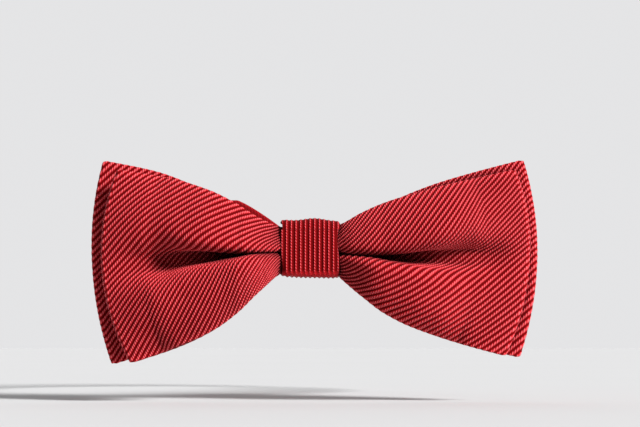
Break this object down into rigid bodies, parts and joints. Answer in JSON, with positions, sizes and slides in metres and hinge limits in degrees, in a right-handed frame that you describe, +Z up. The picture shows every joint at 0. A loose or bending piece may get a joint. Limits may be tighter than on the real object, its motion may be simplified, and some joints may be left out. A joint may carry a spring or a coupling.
{
  "type": "bow tie",
  "caption": "Pre-tied bow tie of ribbed cloth: two gathered loops, a wrapped knot, and a neck band that opens at a hook and eye and shortens with a slide adjuster.",
  "frame": {"origin": "on the axis of the neck opening, at mid height of the neck band", "axes": "+Z up the neck; the bow faces -Y and lies in the XZ plane; +X to the right of someone looking at the bow. The knot's centre is 8 mm below the band's mid height."},
  "size_m": [0.125, 0.1453, 0.0526],
  "materials": {
    "bow_cloth": "ribbed silk twill, soft sheen",
    "knot_cloth": "ribbed silk twill, ribs upright",
    "band_tape": "fine ribbed tape, soft sheen",
    "interlining": "matt woven interlining",
    "thread": "twisted thread",
    "hardware": "nickel plated"
  },
  "bodies": {
    "bow": {"back_bow": "bow_cloth", "back_bow_interlining": "interlining", "front_bow": "bow_cloth", "front_bow_interlining": "interlining", "gather_thread": "thread", "knot_interlining": "interlining", "knot_wrap": "knot_cloth", "knot_stitches": "thread", "band_front": "band_tape"},
    "left_side": {"band_left_side": "band_tape"},
    "left_rear": {"band_left_rear": "band_tape", "eye_loop_stitches": "thread"},
    "eye": {"eye_ring": "hardware"},
    "right_side": {"band_right_side": "band_tape"},
    "right_rear": {"band_right_rear": "band_tape", "adjuster_tail": "band_tape"},
    "hook": {"hook": "hardware"},
    "slider": {"slide_adjuster": "hardware", "tail_stitches": "thread"}
  },
  "joints": [
    {"name": "left_side_flex", "type": "hinge", "parent": "bow", "child": "left_side", "pos_m": [-0.05369, -0.031, 0], "axis": [0, 0, 1], "range_deg": [0, 50]},
    {"name": "left_rear_flex", "type": "hinge", "parent": "left_side", "child": "left_rear", "pos_m": [-0.05619, 0.0262, 0], "axis": [0, 0, 1], "range_deg": [0, 50]},
    {"name": "eye_swing", "type": "hinge", "parent": "left_rear", "child": "eye", "pos_m": [-0.00679, 0.06213, 0], "axis": [0, 0, 1], "range_deg": [0, 60]},
    {"name": "right_side_flex", "type": "hinge", "parent": "bow", "child": "right_side", "pos_m": [0.05369, -0.031, 0], "axis": [0, 0, 1], "range_deg": [0, 20]},
    {"name": "right_rear_flex", "type": "hinge", "parent": "right_side", "child": "right_rear", "pos_m": [0.05619, 0.0262, 0], "axis": [0, 0, 1], "range_deg": [0, 30]},
    {"name": "hook_swing", "type": "hinge", "parent": "right_rear", "child": "hook", "pos_m": [0.00898, 0.06185, 0], "axis": [0, 0, 1], "range_deg": [0, 60]},
    {"name": "slider_travel", "type": "hinge", "parent": "right_rear", "child": "slider", "pos_m": [0, 0, 0], "axis": [0, 0, 1], "range_deg": [-28, 12], "deforming": ["adjuster_tail"]}
  ]
}
